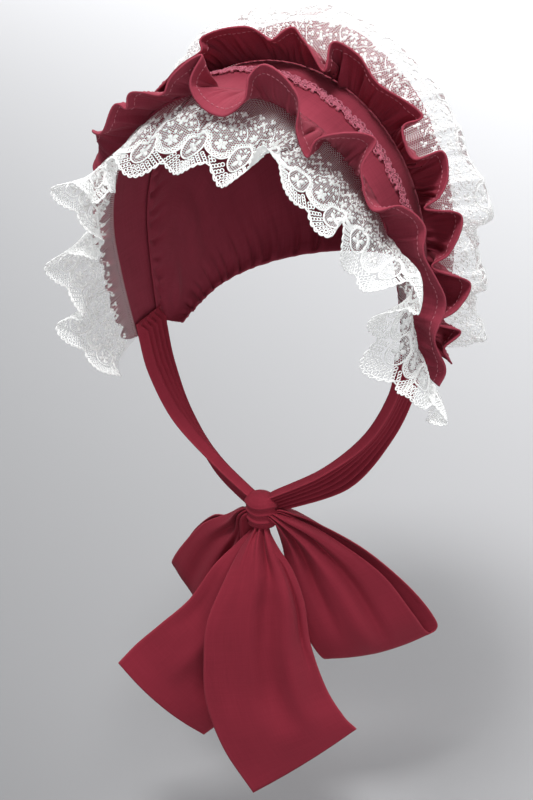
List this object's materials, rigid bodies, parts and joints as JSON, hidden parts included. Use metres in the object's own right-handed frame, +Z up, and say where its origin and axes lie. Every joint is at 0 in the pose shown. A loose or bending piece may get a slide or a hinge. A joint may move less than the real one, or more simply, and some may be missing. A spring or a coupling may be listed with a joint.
{
  "type": "ruffled lace bonnet with a ribbon bow",
  "caption": "Burgundy cloth bonnet with gathered cloth ruffles, white scalloped lace frills, a braid on its band and a wide ribbon bow under the chin.",
  "frame": {"origin": "the point inside the top of the head band where the crown of the wearer's head carries it", "axes": "+Z up, the wearer faces -Y, +X to the wearer's left"},
  "size_m": [0.2734, 0.2484, 0.4828],
  "materials": {
    "burgundy_cloth": "matt woven cloth",
    "ribbon_cloth": "matt fine twill ribbon",
    "braid_thread": "thick thread guipure braid",
    "white_lace": "embroidered tulle"
  },
  "bodies": {
    "root": {"head_band": "burgundy_cloth", "crown": "burgundy_cloth", "front_ruffle": "burgundy_cloth", "back_ruffle": "burgundy_cloth", "front_lace": "white_lace", "back_lace": "white_lace", "braid_trim": "braid_thread", "tie_left": "ribbon_cloth", "tie_right": "ribbon_cloth", "bow_knot": "ribbon_cloth", "bow_loop_left": "ribbon_cloth", "bow_loop_right": "ribbon_cloth", "bow_tail_centre": "ribbon_cloth", "bow_tail_right": "ribbon_cloth"}
  },
  "joints": []
}
